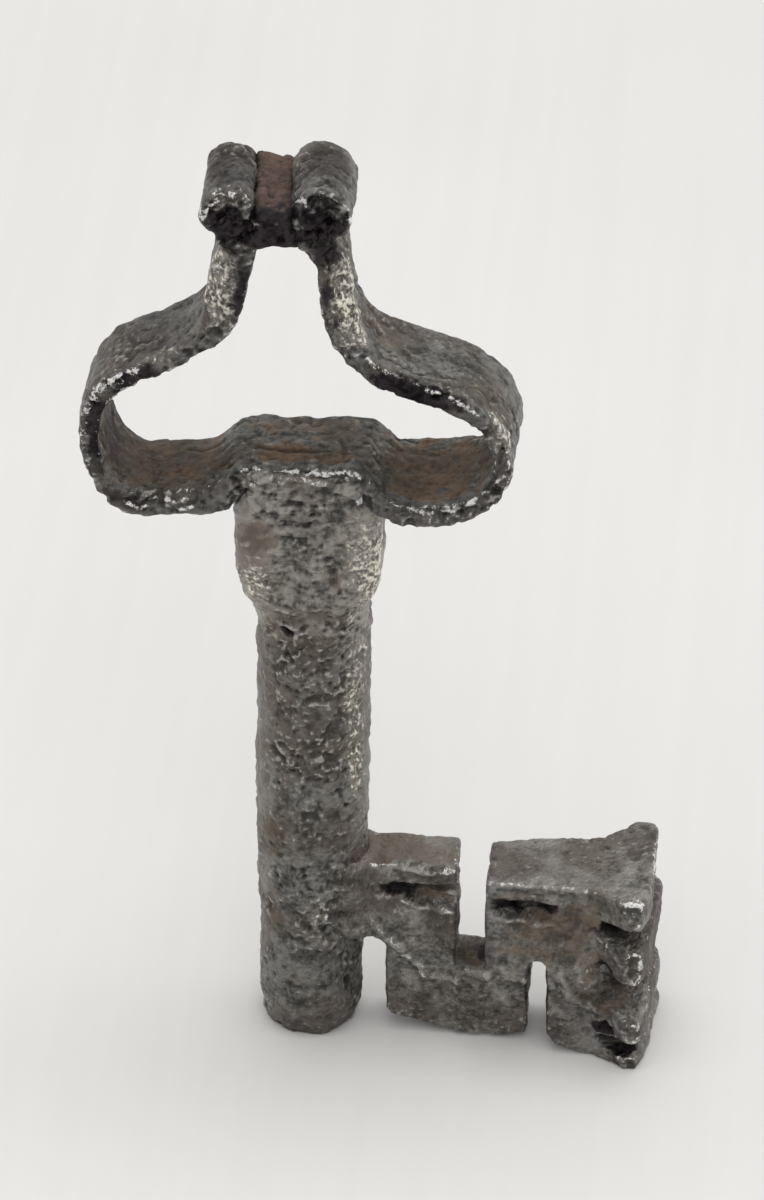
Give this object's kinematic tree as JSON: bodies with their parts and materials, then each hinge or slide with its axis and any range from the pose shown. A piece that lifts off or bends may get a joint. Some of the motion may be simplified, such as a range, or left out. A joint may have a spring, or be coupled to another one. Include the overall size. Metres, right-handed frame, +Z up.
{
  "type": "key",
  "caption": "Forged iron pipe key with a bow bent from one strip and rolled at the top, a swelling neck, a bored shank and a warded bit with leaves at its outer end.",
  "frame": {"origin": "centre of the shank's open tip", "axes": "+Z up the shank towards the bow, +X towards the bit, -Y is the side the bit's stepped front faces"},
  "size_m": [0.0619, 0.015, 0.1081],
  "materials": {
    "shank_iron": "pitted dark grey wrought iron, worn smooth on the barrel",
    "neck_braze_metal": "darkened braze, mostly lost from the joint",
    "neck_iron": "deeply pitted wrought iron with lighter worn sides",
    "bow_iron": "hammered wrought iron, brown inside the lobes, bright on worn edges",
    "saddle_iron": "reddish brown rusted wrought iron",
    "bit_iron": "pitted wrought iron, brown in the kerfs and wards, bright on the leaf tips",
    "root_braze_metal": "brown stained braze"
  },
  "bodies": {
    "root": {"shank_pipe": "shank_iron", "neck_braze": "neck_braze_metal", "neck_bolster": "neck_iron", "bow_strip": "bow_iron", "finial_saddle": "saddle_iron", "bit_blade": "bit_iron", "bit_root_braze": "root_braze_metal"}
  },
  "joints": []
}
